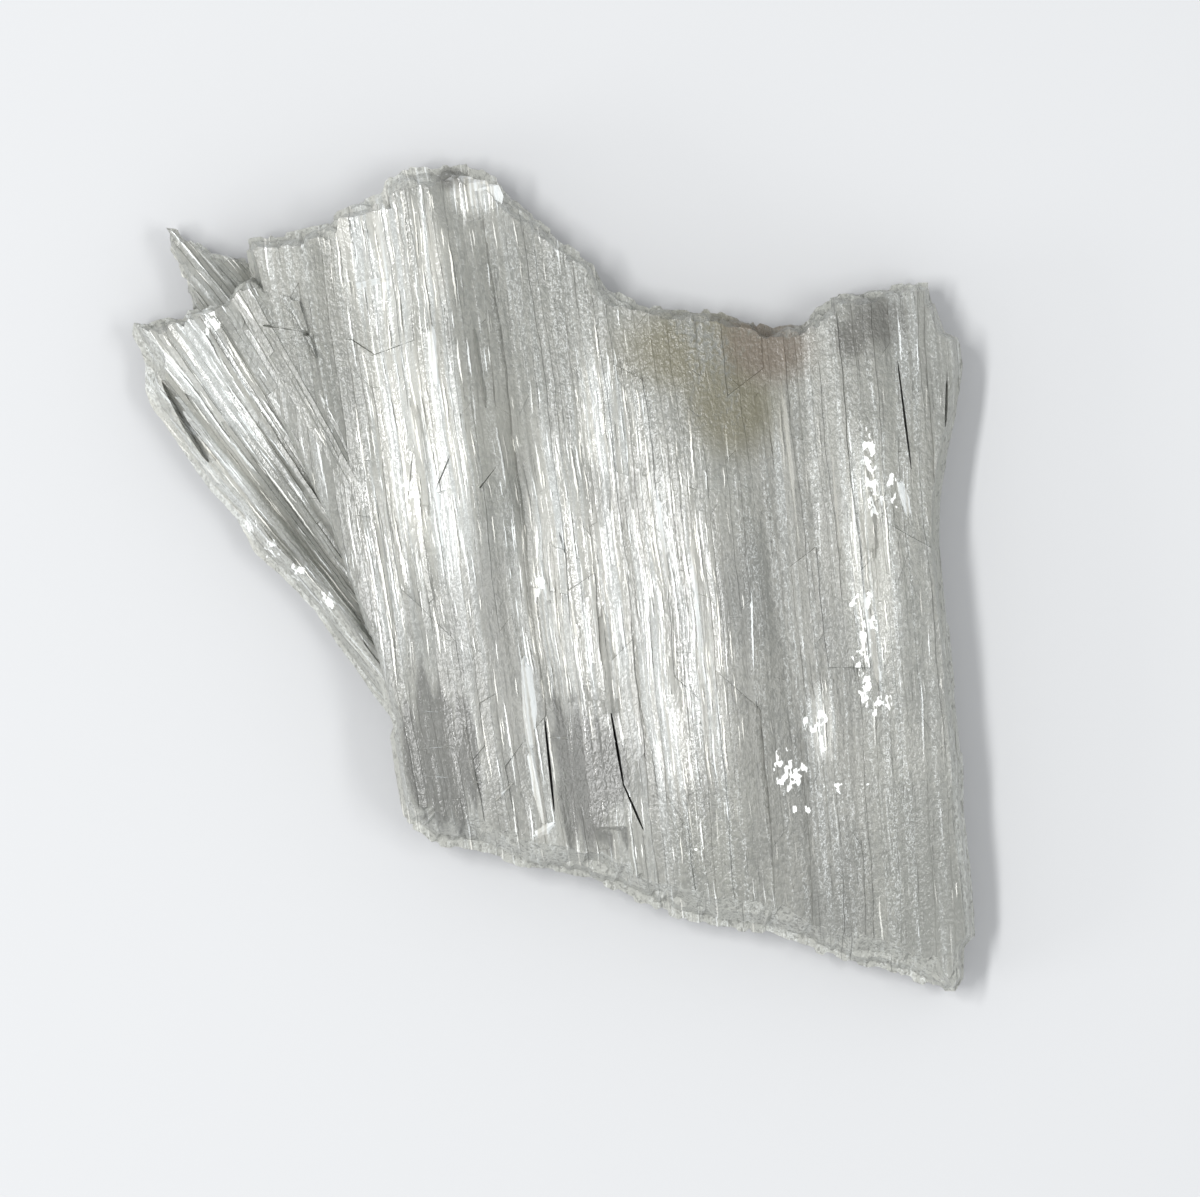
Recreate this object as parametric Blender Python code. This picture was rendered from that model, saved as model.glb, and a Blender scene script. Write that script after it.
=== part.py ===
"""Probertite: one cleaved piece of intergrown blades, lying on its back.

X runs across the blades, Y along them and Z out of the silky face. Constants are in millimetres, and the
mesh is in metres. The piece has three bundles of blades that grew together: the slab, the wing that splays
from its left side, and the spur that sticks out behind. Each bundle is a block with nested blades in relief
on its face and back, cut to its broken outline. The bundles and a few loose slivers are joined in one
solid.
"""

from collections import namedtuple

import bmesh
import bpy
import numpy as np

MM = 0.001

# A layer of nested blades. width and length are means. relief is how far a blade stands from its
# neighbours, tilt the spread of its slope across, and slant the spread of the slope of its broken ends.
Layer = namedtuple("Layer", "width length relief tilt slant")

# One stretch of a broken outline. front and rear are the bevels to the face and the back. A low steep makes
# the front bevel a ledge. ledge is the depth of the strata along the edge, and run how many points share
# one.
Rim = namedtuple("Rim", "points front rear steep ledge run")

# A bundle of blades. corners are those of the patch that its blades run over: bottom left, bottom right,
# top right, top left. face and back give the height of the bare form at (x, y, share across). The rims go
# clockwise.
Bundle = namedtuple("Bundle", "name seed corners face back rims face_layers back_layers")

# A loose blade on the face, or a crack in it. start, end and width are on the face, and rise is how far it
# stands out there (or how deep it goes). lean moves its crest sideways, and spine is one of those below.
Sliver = namedtuple("Sliver", "name start end width rise lean spine")

STEP = 0.03             # half the width of the steep step between two blades
FACE_ROWS = 13          # points along each blade on the face
BACK_ROWS = 8
UNEVEN = (0.4, 1.6)     # the narrowest and widest blade beside the mean
ROOTED = 0.8            # how far a sliver reaches into the face, or a crack above it
ENDS = 0.3              # the share of its rise that a sliver would have where its width came to nothing
CHORD = 3.0             # how far to each side an edge is followed to find which way is inside
TURNS = 12              # enough to place a point in a patch far closer than the eye can tell
HIGH, LOW = 40.0, -8.0  # beyond the piece, above and below

# How wide a sliver is at each share of its length.
POINTED = ((0.0, 0.12), (0.12, 0.7), (0.55, 1.0), (0.9, 0.6), (1.0, 0.12))
BLUNT_END = ((0.0, 0.12), (0.12, 0.6), (0.5, 1.0), (0.9, 1.0), (1.0, 0.9))
BLUNT_START = ((0.0, 0.9), (0.08, 1.0), (0.5, 1.0), (0.85, 0.6), (1.0, 0.12))

# The strata of a broken edge, each from one share of the face's height to another. WIDEST stands out
# furthest.
WIDEST = (0.39, 0.56)
STRATA = ((-0.06, 0.15), (0.18, 0.36), WIDEST, (0.59, 0.74), (0.77, 0.92), (1.0, 1.12))


# ---------------------------------------------------------------- the form of each bundle

def smoothstep(low, high, value):
    share = np.clip((value - low) / (high - low), 0, 1)
    return share * share * (3 - 2 * share)


def climb(value, slope):
    """From 0 where value is at the slope's first number to its third where value is at the second."""
    low, high, height = slope
    return height * smoothstep(low, high, value)


def ridge(across, centre, half_width, height):
    return height * np.exp(-(((across - centre) / half_width) ** 2))


# The slab thins upwards and downwards in y, and to the right in x. Its back lifts off upwards in y, and to
# both sides in share across. It rests on a flat whose middle and slope outwards are given.
SLAB_HEIGHT, SLAB_LEVEL = 11.2, -0.1
THIN_UP, THIN_DOWN, THIN_RIGHT = (2, 36, 2.6), (-16, -36, 1.6), (10, 37, 2.2)
LIFT_UP, LIFT_RIGHT, LIFT_LEFT = (6, 36, 3.4), (0.75, 1.0, 0.6), (0.3, 0.1, 0.4)
REST_X, REST_Y, REST = 6.0, -6.0, (16, 9, 0.7)

# The swells of the slab's face: share across, half width, level in y, half length and height.
SLAB_SWELLS = (
    (0.15, 0.025, 2, 14, 0.35),
    (0.26, 0.06, 11, 21, 1.0),
    (0.41, 0.07, 2, 40, -0.35),
    (0.60, 0.07, -4, 20, 0.9),
    (0.73, 0.05, 4, 40, -0.35),
    (0.86, 0.04, 1, 16, 0.6),
)


def slab_face(x, y, across):
    """Thickest low in the middle, thinning to the top and the right, with low swells along the blades."""
    thinning = climb(y, THIN_UP) + climb(x, THIN_RIGHT) + climb(y, THIN_DOWN)
    swells = sum(
        ridge(across, middle, half_width, height) * ridge(y, level, half_length, 1)
        for middle, half_width, level, half_length, height in SLAB_SWELLS
    )
    return SLAB_HEIGHT - thinning + swells


def slab_back(x, y, across):
    """Flat where it rests, and lifting off towards the thin top and the sides."""
    lifts = climb(y, LIFT_UP) + climb(across, LIFT_RIGHT) + climb(across, LIFT_LEFT)
    return SLAB_LEVEL + lifts - climb(np.hypot(x - REST_X, y - REST_Y), REST)


# The wing's face rises across it and sinks to its tip in y. Its back sinks across it.
WING_HEIGHT, WING_LEVEL = 6.6, 0.8
WING_RISE, WING_TIP, WING_UNDER = (0.27, 0.87, 4.4), (8, 24, 1.2), (0.87, 0.32, 2.4)

# The ridges and gaps between the wing's coarse blades: share across, half width and height.
WING_RIDGES = (
    (0.41, 0.014, 0.3), (0.44, 0.016, -0.7), (0.477, 0.018, 0.6), (0.547, 0.016, 0.4), (0.60, 0.012, -0.7),
    (0.62, 0.014, 0.3),
)


def wing_face(x, y, across):
    """Lowest along its free edge, where the blades stand apart."""
    apart = sum(ridge(across, middle, half_width, height) for middle, half_width, height in WING_RIDGES)
    return WING_HEIGHT + climb(across, WING_RISE) + apart - climb(y, WING_TIP)


def wing_back(x, y, across):
    return WING_LEVEL + climb(across, WING_UNDER)


# The spur has one ridge along it, given as one of the wing's, and its face sinks to its tip in y.
SPUR_HEIGHT, SPUR_LEVEL = 5.4, 2.2
SPUR_RIDGE, SPUR_TIP, SPUR_UNDER = (0.42, 0.2, 1.6), (22, 30, 1.8), (0, 1, 0.3)


def spur_face(x, y, across):
    return SPUR_HEIGHT + ridge(across, *SPUR_RIDGE) - climb(y, SPUR_TIP)


def spur_back(x, y, across):
    return SPUR_LEVEL + climb(across, SPUR_UNDER)


# ---------------------------------------------------------------- the broken outlines, clockwise

SLAB_TOP_LEFT = [
    (-25.5, 27.2), (-25.4, 28.0), (-21.7, 28.6), (-18.4, 29.5), (-18.1, 30.3), (-16.3, 31.1),
]
SLAB_HUMP = [
    (-14.3, 31.7), (-14.0, 32.8), (-12.6, 33.9), (-9.8, 34.0), (-7.5, 34.4), (-6.1, 33.9),
    (-4.7, 33.0),
]
SLAB_TOP_RIGHT = [
    (-2.3, 30.6), (0.9, 27.9), (3.4, 26.0), (4.6, 24.0), (6.9, 22.9), (8.0, 22.4), (13.5, 22.1),
    (16.3, 21.2), (17.9, 20.7), (19.3, 21.1), (20.3, 21.1), (22.5, 23.0), (22.8, 23.5), (26.3, 23.8),
    (29.4, 24.4), (31.1, 24.4),
]
SLAB_RIGHT = [
    (31.6, 22.8), (32.5, 20.3), (33.6, 19.8), (33.9, 17.4), (33.3, 12.9), (32.7, 10.4), (32.1, 6.3),
    (32.0, 3.0), (32.7, -4.2), (33.3, -10.2), (33.9, -15.6), (33.9, -19.3), (34.5, -23.8),
    (35.0, -29.7), (34.1, -30.6), (34.0, -33.3), (33.3, -34.4),
]
SLAB_BOTTOM = [
    (32.4, -34.4), (28.4, -33.1), (24.7, -32.0), (22.0, -31.3), (17.4, -29.6), (13.7, -29.1),
    (10.4, -28.4), (6.6, -26.8), (3.0, -25.0), (-2.0, -24.3), (-6.2, -22.9), (-9.8, -22.2),
    (-10.9, -21.2), (-12.3, -20.5),
]
SLAB_LEFT = [
    (-12.7, -18.9), (-13.2, -16.0), (-13.6, -13.2), (-13.3, -12.4), (-14.0, -10.2), (-15.1, -6.1),
    (-17.2, -1.1), (-19.1, 4.2), (-21.3, 8.8), (-23.2, 12.9), (-24.0, 18.7), (-24.7, 22.8),
]
WING_TOP = [
    (-34.9, 21.2), (-33.1, 21.2), (-32.1, 21.6), (-30.4, 21.7), (-30.2, 22.3), (-28.3, 22.9),
    (-27.2, 23.4), (-26.0, 24.5), (-24.9, 24.9),
]
WING_INNER = [(-20.9, 22.8), (-18.4, 14.6), (-14.7, 4.7), (-12.8, -5.2), (-12.3, -11.4)]
WING_OUTER = [
    (-13.4, -11.8), (-14.9, -9.9), (-16.5, -7.5), (-17.8, -5.8), (-19.8, -2.8), (-22.6, 0.0),
    (-24.8, 1.9), (-26.3, 4.7), (-28.6, 7.1), (-30.3, 9.5), (-31.5, 11.3), (-33.3, 13.9),
    (-33.9, 15.4), (-33.9, 17.3), (-34.3, 18.7), (-35.0, 19.9),
]
SPUR_TOP = [(-32.2, 29.0), (-31.6, 29.0), (-29.7, 27.9), (-28.3, 26.9), (-25.6, 26.4), (-22.9, 25.3)]
SPUR_INNER = [(-20.1, 19.5), (-26.7, 19.5)]
SPUR_OUTER = [(-30.0, 22.3), (-31.0, 25.5), (-32.0, 27.3)]

SLAB = Bundle(
    "slab", 11, [(-16.0, -35.8), (38.6, -35.8), (34.4, 36.0), (-28.2, 36.0)], slab_face, slab_back,
    [
        Rim(SLAB_TOP_LEFT, 0.7, 1.0, 1.5, 0.8, 1),
        Rim(SLAB_HUMP, 1.3, 0.9, 0.4, 0.6, 1),
        Rim(SLAB_TOP_RIGHT, 0.7, 1.2, 1.5, 0.8, 1),
        Rim(SLAB_RIGHT, 0.5, 1.0, 1.5, 0.7, 5),
        Rim(SLAB_BOTTOM, 1.8, 1.4, 1.5, 0.9, 1),
        Rim(SLAB_LEFT, 0.5, 0.8, 1.5, 0.6, 6),
    ],
    [Layer(2.6, 30, 0.17, 0.06, 1.2), Layer(0.95, 17, 0.09, 0.09, 2.2)],
    [Layer(2.8, 34, 0.5, 0.03, 1.0), Layer(1.2, 18, 0.15, 0.06, 2.0)],
)
WING = Bundle(
    "wing", 23, [(-16.0, -14.8), (-2.0, -10.0), (-20.0, 32.0), (-55.0, 17.5)], wing_face, wing_back,
    [
        Rim(WING_TOP, 0.6, 0.6, 1.5, 0.4, 1),
        Rim(WING_INNER, 0.0, 0.0, 1.5, 0.0, 1),
        Rim(WING_OUTER, 0.9, 1.0, 1.2, 0.8, 5),
    ],
    [Layer(1.7, 34, 0.45, 0.25, 1.0), Layer(0.75, 17, 0.2, 0.2, 2.0)],
    [Layer(2.4, 30, 0.4, 0.08, 1.0)],
)
SPUR = Bundle(
    "spur", 37, [(-26.0, 13.0), (-12.0, 18.0), (-28.0, 34.0), (-37.0, 29.0)], spur_face, spur_back,
    [
        Rim(SPUR_TOP, 0.25, 0.2, 1.5, 0.1, 1),
        Rim(SPUR_INNER, 0.0, 0.0, 1.5, 0.0, 1),
        Rim(SPUR_OUTER, 0.35, 0.2, 1.5, 0.1, 1),
    ],
    [Layer(2.2, 14, 0.25, 0.15, 1.0)],
    [Layer(3.0, 20, 0.2, 0.0, 0.0)],
)

LOOSE_BLADES = [
    Sliver("wedge", (-2.35, -6.5), (-1.8, -14.6), 1.35, 0.55, 0.4, POINTED),
    Sliver("wedge_low", (-2.0, -13.9), (-0.7, -20.3), 1.0, 0.5, -0.3, POINTED),
    Sliver("wedge_foot", (-1.6, -21.3), (0.2, -20.1), 0.8, 0.3, 0.2, POINTED),
    Sliver("facet", (-10.1, 20.7), (-9.5, 15.2), 1.2, 0.5, -0.3, POINTED),
    Sliver("facet_low", (-11.2, 14.0), (-10.2, 5.0), 0.9, 0.35, -0.4, POINTED),
    Sliver("chip_across", (-16.7, 23.7), (-13.5, 24.4), 0.6, 0.35, 0.1, POINTED),
    Sliver("thin_blade", (-6.5, 20.3), (-5.5, 13.8), 0.45, 0.3, 0.1, POINTED),
    Sliver("blade_low", (4.0, -2.4), (4.9, -11.2), 1.3, 0.35, 0.2, BLUNT_END),
    Sliver("blade_left", (-14.6, 6.5), (-12.9, -6.3), 1.0, 0.45, -0.3, POINTED),
    Sliver("blade_right", (25.4, 10.0), (26.4, 1.5), 1.1, 0.4, -0.3, POINTED),
]
CRACKS = [
    Sliver("window", (2.9, -10.2), (3.9, -22.4), 4.6, 0.35, 0.3, BLUNT_START),
    Sliver("crack_wedge", (-0.7, -11.6), (0.1, -19.3), 0.35, 0.9, 0.1, POINTED),
    Sliver("crack_middle", (4.7, -10.9), (5.8, -17.3), 0.45, 1.0, 0.1, POINTED),
    Sliver("crack_low", (5.7, -16.9), (7.4, -20.8), 0.3, 0.6, 0.1, POINTED),
    Sliver("crack_right", (28.3, 17.8), (29.4, 8.8), 0.5, 1.0, 0.1, POINTED),
    Sliver("crack_edge", (32.4, 17.0), (32.1, 6.4), 0.6, 1.4, 0.1, POINTED),
    Sliver("wing_gap", (-32.4, 16.4), (-28.4, 9.4), 0.9, 1.6, 0.2, POINTED),
]


# ---------------------------------------------------------------- blades in relief

def cuts(total, mean, rng):
    """Cuts from 0 to total, about mean apart and never even."""
    count = max(1, round(total / mean))
    shares = np.cumsum(rng.uniform(*UNEVEN, count))
    return np.concatenate([[0], shares / shares[-1] * total])


def blades(width, length, layers, seed):
    """The finest blades across a bundle, as (left, right, cells).

    Cells holds, for each layer, the middle of the blade that this one is nested in, the places and slants of
    the breaks across that, and the height and tilt of each length of it between them.
    """
    found = [(0.0, width, [])]
    for depth, layer in enumerate(layers):
        rng = np.random.default_rng([seed, depth])
        finer = []
        for left, right, cells in found:
            edges = left + cuts(right - left, layer.width, rng)
            for low, high in zip(edges, edges[1:]):
                breaks = cuts(length, layer.length, rng)[1:-1]
                slants = rng.uniform(-1, 1, len(breaks)) * layer.slant
                heights = rng.uniform(-1, 1, len(breaks) + 1) * layer.relief
                tilts = rng.normal(0, 1, len(breaks) + 1) * layer.tilt
                finer.append((low, high, cells + [((low + high) / 2, breaks, slants, heights, tilts)]))
        found = finer
    return found


def snapped(rows, cells, across, centre):
    """The rows of one blade's side, with a pair of them moved to each break across it."""
    rows = rows.copy()
    places = [
        (place + slant * (centre - middle), place + slant * (across - middle))
        for middle, breaks, slants, _, _ in cells
        for place, slant in zip(breaks, slants)
    ]
    last = 0
    for at_centre, here in sorted(places):
        row = max(last + 1, int(np.searchsorted(rows, at_centre)) - 1)
        if row + 2 < len(rows) and rows[row - 1] < here - 2 * STEP and rows[row + 2] > here + 2 * STEP:
            rows[row], rows[row + 1] = here - STEP, here + STEP
            last = row + 1
    return rows


def raised(cells, along, across):
    """How far a blade stands out, all its layers together."""
    total = np.zeros_like(along)
    for middle, breaks, slants, heights, tilts in cells:
        cell = np.searchsorted(np.sort(breaks + slants * (across - middle)), along)
        total += heights[cell] + tilts[cell] * (across - middle)
    return total


def patch_point(corners, across, along):
    """The point of a four-cornered patch at these shares across and along."""
    low_left, low_right, high_right, high_left = (np.array(c) for c in corners)
    across, along = across[..., None], along[..., None]
    low = low_left + (low_right - low_left) * across
    high = high_left + (high_right - high_left) * across
    return low + (high - low) * along


def patch_size(corners):
    """Its mean width and length."""
    a, b, c, d = (np.array(corner) for corner in corners)
    width = np.linalg.norm((b - a) + (c - d)) / 2
    length = np.linalg.norm((d - a) + (c - b)) / 2
    return width, length


def relief(bundle, form, layers, rows, seed):
    """A sheet of blades over the bundle's patch, as an array of points: two columns for each blade."""
    width, length = patch_size(bundle.corners)
    columns = []
    for left, right, cells in blades(width, length, layers, seed):
        for across in (left + STEP, right - STEP):
            along = snapped(np.linspace(0, length, rows), cells, across, (left + right) / 2)
            share = np.full(rows, across / width)
            x, y = patch_point(bundle.corners, share, along / length).T
            height = form(x, y, share) + raised(cells, along, across)
            columns.append(np.stack([x, y, np.maximum(height, 0)], axis=1))
    return np.array(columns)


# ---------------------------------------------------------------- meshes

def solid(name, points, faces):
    """An object of triangles, because a bent face of four corners would trip the Booleans."""
    mesh = bpy.data.meshes.new(name)
    mesh.from_pydata([tuple(p) for p in np.asarray(points) * MM], [], faces)
    grown = bmesh.new()
    grown.from_mesh(mesh)
    bmesh.ops.triangulate(grown, faces=grown.faces[:])
    grown.to_mesh(mesh)
    grown.free()
    obj = bpy.data.objects.new(name, mesh)
    bpy.context.collection.objects.link(obj)
    return obj


def grid_faces(columns, rows, first, upward):
    """The faces of a grid of points numbered from first, column by column."""
    index = first + np.arange(columns * rows).reshape(columns, rows)
    corners = np.stack([index[:-1, :-1], index[1:, :-1], index[1:, 1:], index[:-1, 1:]], axis=-1)
    faces = corners.reshape(-1, 4)
    return index, (faces if upward else faces[:, ::-1]).tolist()


def block(name, face, back):
    """The solid between two relief sheets over the same patch. Its four walls are flat."""
    front, faces = grid_faces(*face.shape[:2], 0, True)
    rear, rear_faces = grid_faces(*back.shape[:2], front.size, False)
    walls = [
        [*front[:, 0][::-1], *rear[:, 0]],
        [*front[-1][::-1], *rear[-1]],
        [*front[:, -1], *rear[:, -1][::-1]],
        [*front[0], *rear[0][::-1]],
    ]
    walls = [[int(i) for i in wall] for wall in walls]
    points = np.concatenate([face.reshape(-1, 3), back.reshape(-1, 3)])
    return solid(name, points, faces + rear_faces + walls)


def inward(points):
    """For each point of a clockwise outline, the unit vector that leads inside."""
    closed = np.vstack([points, points[:1]])
    along = np.concatenate([[0], np.cumsum(np.linalg.norm(np.diff(closed, axis=0), axis=1))])

    def at(place):
        place = place % along[-1]
        return np.stack([np.interp(place, along, closed[:, k]) for k in (0, 1)], axis=1)

    chord = at(along[:-1] + CHORD) - at(along[:-1] - CHORD)
    side = np.stack([chord[:, 1], -chord[:, 0]], axis=1)
    return side / np.linalg.norm(side, axis=1)[:, None]


def share_across(bundle, points):
    """How far across its bundle each point lies, from 0 to 1, found by turns."""
    low_left, low_right, high_right, high_left = (np.array(corner) for corner in bundle.corners)
    across = np.full(len(points), 0.5)
    for _ in range(TURNS):
        low = low_left + (low_right - low_left) * across[:, None]
        high = high_left + (high_right - high_left) * across[:, None]
        along = ((points[:, 1] - low[:, 1]) / (high[:, 1] - low[:, 1]))[:, None]
        left = low_left + (high_left - low_left) * along
        right = low_right + (high_right - low_right) * along
        across = (points[:, 0] - left[:, 0]) / (right[:, 0] - left[:, 0])
    return across


def rim_insets(rim, rng):
    """How far the outline of one rim steps in at the low and high side of each stratum, for each point."""
    groups = np.arange(len(rim.points)) // rim.run
    insets = []
    for stratum in STRATA:
        ledge = rng.uniform(0, rim.ledge, len(rim.points))[groups] * (stratum != WIDEST)
        for share in stratum:
            down = max(0, WIDEST[0] - share) / WIDEST[0]
            up = max(0, share - WIDEST[1]) / (1 - WIDEST[1])
            insets.append(rim.rear * down**2 + rim.front * up**rim.steep + ledge)
    return np.array(insets)


def outline_cutter(bundle):
    """A closed band around the bundle's broken outline, widest half way up and bevelled to both sides."""
    rng = np.random.default_rng(bundle.seed + 5)
    points = np.array([point for rim in bundle.rims for point in rim.points])
    insets = np.concatenate([rim_insets(rim, rng) for rim in bundle.rims], axis=1)
    inside = inward(points)
    height = bundle.face(points[:, 0], points[:, 1], share_across(bundle, points))
    shares = [share for stratum in STRATA for share in stratum]
    rings = [
        np.column_stack([points + inside * inset[:, None], height * share])
        for inset, share in zip(insets, shares)
    ]
    rings.insert(0, rings[0] * [1, 1, 0] + [0, 0, LOW])
    rings.append(rings[-1] * [1, 1, 0] + [0, 0, HIGH])
    count, last = len(points), len(rings) - 1
    faces = [tuple(range(count)), tuple(last * count + k for k in reversed(range(count)))]
    for ring in range(last):
        for k in range(count):
            a, b = ring * count + k, ring * count + (k + 1) % count
            faces.append((a, a + count, b + count, b))
    return solid(f"{bundle.name}_outline", np.concatenate(rings), faces)


def sliver_solid(sliver, bundle, sign):
    """A long thin blade with pointed ends, its crest above the face (sign 1) or below it (sign -1)."""
    start, end = np.array(sliver.start), np.array(sliver.end)
    along = (end - start) / np.linalg.norm(end - start)
    side = np.array([along[1], -along[0]]) * sliver.width / 2
    points, faces = [], []
    for share, width in sliver.spine:
        place = start + (end - start) * share
        surface = float(bundle.face(*place, share_across(bundle, place[None])[0]))
        rise = sliver.rise * (ENDS + (1 - ENDS) * width)
        flare = (rise + ROOTED) / rise
        low, high = (sliver.lean + (edge - sliver.lean) * flare for edge in (-1, 1))
        root, crest = surface - sign * ROOTED, surface + sign * rise
        for offset, height in ((low, root), (high, root), (sliver.lean, crest)):
            spot = place + side * width * offset
            points.append((spot[0], spot[1], height))
    for ring in range(len(sliver.spine) - 1):
        a = ring * 3
        for k in range(3):
            b = (k + 1) % 3
            faces.append((a + k, a + b, a + 3 + b, a + 3 + k))
    last = len(points) - 3
    faces += [(2, 1, 0), (last, last + 1, last + 2)]
    if sign > 0:
        faces = [tuple(reversed(face)) for face in faces]
    return solid(sliver.name, points, faces)


def boolean(obj, other, operation):
    modifier = obj.modifiers.new(f"{operation.lower()} {other.name}", "BOOLEAN")
    modifier.operation = operation
    modifier.solver = "EXACT"
    modifier.object = other
    other.hide_render = True
    other.display_type = "WIRE"


def build(bundle):
    """A bundle's blades, cut to its outline."""
    face = relief(bundle, bundle.face, bundle.face_layers, FACE_ROWS, bundle.seed)
    back = relief(bundle, bundle.back, bundle.back_layers, BACK_ROWS, bundle.seed + 1)
    grown = block(bundle.name, face, back)
    boolean(grown, outline_cutter(bundle), "INTERSECT")
    return grown


def probertite_material():
    material = bpy.data.materials.new("probertite")
    material.use_nodes = True
    shader = material.node_tree.nodes["Principled BSDF"]
    shader.inputs["Base Color"].default_value = (0.72, 0.73, 0.69, 1)
    shader.inputs["Roughness"].default_value = 0.28
    shader.inputs["Metallic"].default_value = 0.0
    shader.inputs["IOR"].default_value = 1.53
    return material


def main():
    for obj in list(bpy.data.objects):
        bpy.data.objects.remove(obj)
    crystal = build(SLAB)
    crystal.name = "probertite_crystals"
    for bundle in (WING, SPUR):
        boolean(crystal, build(bundle), "UNION")
    for sliver in CRACKS:
        bundle = WING if sliver.name == "wing_gap" else SLAB
        boolean(crystal, sliver_solid(sliver, bundle, -1), "DIFFERENCE")
    for sliver in LOOSE_BLADES:
        boolean(crystal, sliver_solid(sliver, SLAB, 1), "UNION")
    crystal.data.materials.append(probertite_material())


main()
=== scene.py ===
"""Looks of the probertite specimen: its blades down to the finest striae, its broken edges, and its silky,
translucent body with veils, clear windows, cracks and stains.

Constants are in millimetres. The piece is built as in the CAD, from the same draws, and fills the same form.
It has a finer layer of blades on it, finer chips along its edges, and finer loose blades and cracks.
"""

import math
from collections import namedtuple
from types import SimpleNamespace

import bmesh
import bpy
import numpy as np
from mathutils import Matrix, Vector, noise


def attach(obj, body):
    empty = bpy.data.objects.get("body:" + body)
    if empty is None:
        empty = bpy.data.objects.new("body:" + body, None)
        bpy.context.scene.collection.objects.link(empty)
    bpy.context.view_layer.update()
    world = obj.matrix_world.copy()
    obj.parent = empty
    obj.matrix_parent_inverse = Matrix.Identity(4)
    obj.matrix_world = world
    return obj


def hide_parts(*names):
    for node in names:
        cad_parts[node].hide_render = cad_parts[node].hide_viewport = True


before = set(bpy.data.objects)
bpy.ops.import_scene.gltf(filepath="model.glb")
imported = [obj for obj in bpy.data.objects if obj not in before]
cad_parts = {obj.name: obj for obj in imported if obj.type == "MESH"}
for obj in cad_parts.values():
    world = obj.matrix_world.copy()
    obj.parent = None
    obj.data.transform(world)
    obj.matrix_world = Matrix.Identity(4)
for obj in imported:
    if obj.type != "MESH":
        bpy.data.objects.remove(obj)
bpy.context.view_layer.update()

MM = 0.001


# ---------------------------------------------------------------- what the piece is made of

# A layer of nested blades. width and length are means. relief is how far a blade stands from its neighbours,
# tilt the spread of its slope across, and slant the spread of the slope of its broken ends.
Layer = namedtuple("Layer", "width length relief tilt slant")

# One stretch of a broken outline. front and rear are the bevels to the face and the back. A low steep makes
# the front bevel a ledge. ledge is the depth of the strata along the edge, and run how many points share one.
Rim = namedtuple("Rim", "points front rear steep ledge run")

# A bundle of blades. corners are those of the patch that its blades run over: bottom left, bottom right, top
# right, top left. face and back give the height of the bare form at (x, y, share across). rims go clockwise.
# rows are how many points each blade has along it, on the face and on the back.
Bundle = namedtuple("Bundle", "name seed corners face back rims face_layers back_layers rows")

# How wide a sliver is at each share of its length.
POINTED = ((0.0, 0.12), (0.12, 0.7), (0.55, 1.0), (0.9, 0.6), (1.0, 0.12))
BLUNT_END = ((0.0, 0.12), (0.12, 0.6), (0.5, 1.0), (0.9, 1.0), (1.0, 0.9))
BLUNT_START = ((0.0, 0.9), (0.08, 1.0), (0.5, 1.0), (0.85, 0.6), (1.0, 0.12))

# A loose blade on the face, or a crack in it. start, end and width are on the face, and rise is how far it
# stands out there (or how deep it goes). lean moves its crest sideways, and spine is one of those above.
Sliver = namedtuple("Sliver", "name start end width rise lean spine", defaults=[POINTED])

STEP = 0.03             # half the width of the steep step between two blades
UNEVEN = (0.4, 1.6)     # the narrowest and widest blade beside the mean
ROOTED = 0.8            # how far a sliver reaches into the face, or a crack above it
ENDS = 0.3              # the share of its rise that a sliver would have where its width came to nothing
CHORD = 3.0             # how far to each side an edge is followed to find which way is inside
HIGH, LOW = 40.0, -8.0  # beyond the piece, above and below
TURNS = 12              # enough to place a point in a patch far closer than the eye can tell

# How the blades wander sideways: how far, and over what lengths of y and x.
WAVES = ((0.22, 8.3, 9.0), (0.08, 2.1, 3.7), (0.03, 0.6, -0.9))

# The strata of a broken edge, from one share of the face's height to another. WIDEST stands out furthest.
WIDEST = (0.39, 0.56)
STRATA = ((-0.06, 0.15), (0.18, 0.36), WIDEST, (0.59, 0.74), (0.77, 0.92), (1.0, 1.12))

EDGE_SPACING = 0.28     # between the points along a broken edge
STRATUM_STEPS = (0.0, 0.5, 1.0)     # the heights of its rings of points, as shares of a stratum
END_CELL, END_CHIP = 0.75, 0.42     # the stubs of broken blades at their ends: width and depth
SIDE_CELL, SIDE_CHIP = 6.0, 0.16    # the flakes along the sides of the bundles: length and depth
GRIT = 0.05             # the roughness of all broken edges

# What a bundle's seed is raised by for the draws of its back, its outline and its chips.
BACK_SEED, OUTLINE_SEED, CHIP_SEED = 1, 5, 6


def smoothstep(low, high, value):
    share = np.clip((value - low) / (high - low), 0, 1)
    return share * share * (3 - 2 * share)


def climb(value, slope):
    """From 0 where value is at the slope's first number to its third where value is at the second."""
    low, high, height = slope
    return height * smoothstep(low, high, value)


def ridge(across, centre, half_width, height):
    return height * np.exp(-(((across - centre) / half_width) ** 2))


# The slab thins upwards and downwards in y, and to the right in x. Its back lifts off upwards in y, and to
# both sides in share across. It rests on a flat whose middle and slope outwards are given.
SLAB_HEIGHT, SLAB_LEVEL = 11.2, -0.1
THIN_UP, THIN_DOWN, THIN_RIGHT = (2, 36, 2.6), (-16, -36, 1.6), (10, 37, 2.2)
LIFT_UP, LIFT_RIGHT, LIFT_LEFT = (6, 36, 3.4), (0.75, 1.0, 0.6), (0.3, 0.1, 0.4)
REST_X, REST_Y, REST = 6.0, -6.0, (16, 9, 0.7)

# The swells of the slab's face: share across, half width, level in y, half length and height.
SLAB_SWELLS = (
    (0.15, 0.025, 2, 14, 0.35),
    (0.26, 0.06, 11, 21, 1.0),
    (0.41, 0.07, 2, 40, -0.35),
    (0.60, 0.07, -4, 20, 0.9),
    (0.73, 0.05, 4, 40, -0.35),
    (0.86, 0.04, 1, 16, 0.6),
)


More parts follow.
